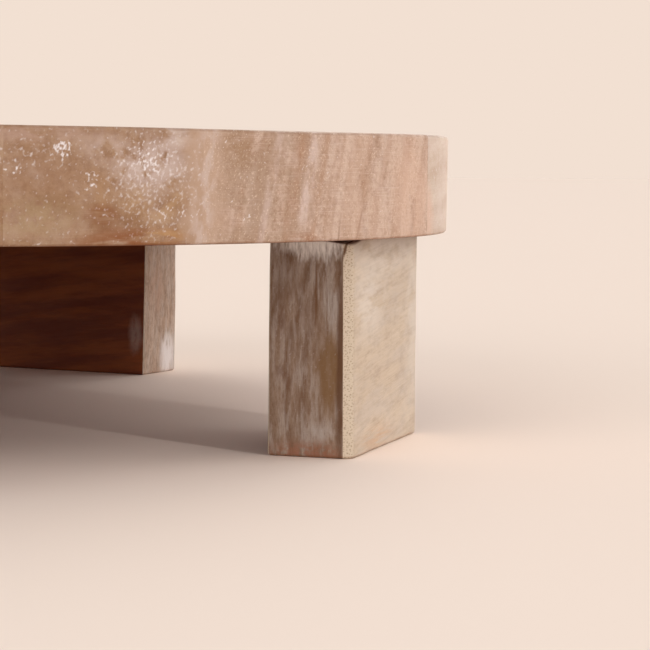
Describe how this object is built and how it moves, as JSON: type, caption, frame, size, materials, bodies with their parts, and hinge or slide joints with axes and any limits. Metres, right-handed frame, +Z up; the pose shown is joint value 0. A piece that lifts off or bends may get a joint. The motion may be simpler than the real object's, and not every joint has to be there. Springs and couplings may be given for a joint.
{
  "type": "tray table",
  "caption": "Low round tray table: a thick hand-cut wooden top glued up from boards, on short plank legs that stand along the rim and are held by dowels.",
  "frame": {"origin": "on the floor, under the middle of the top", "axes": "+Z up, -Y to the front, +X to the right seen from the front; the top's boards run along Y"},
  "size_m": [0.5126, 0.5222, 0.118],
  "materials": {
    "top_wood": "sanded and whitewashed, matt",
    "leg_wood": "sanded and whitewashed, matt",
    "dowel_wood": "bare"
  },
  "bodies": {
    "root": {"left_edge_board": "top_wood", "left_board": "top_wood", "left_middle_board": "top_wood", "right_middle_board": "top_wood", "right_board": "top_wood", "right_edge_board": "top_wood", "front_right_leg": "leg_wood", "front_left_leg": "leg_wood", "rear_right_leg": "leg_wood", "rear_left_leg": "leg_wood", "front_right_dowel_outer": "dowel_wood", "front_right_dowel_inner": "dowel_wood", "front_left_dowel_outer": "dowel_wood", "front_left_dowel_inner": "dowel_wood", "rear_right_dowel_outer": "dowel_wood", "rear_right_dowel_inner": "dowel_wood", "rear_left_dowel_outer": "dowel_wood", "rear_left_dowel_inner": "dowel_wood"}
  },
  "joints": []
}
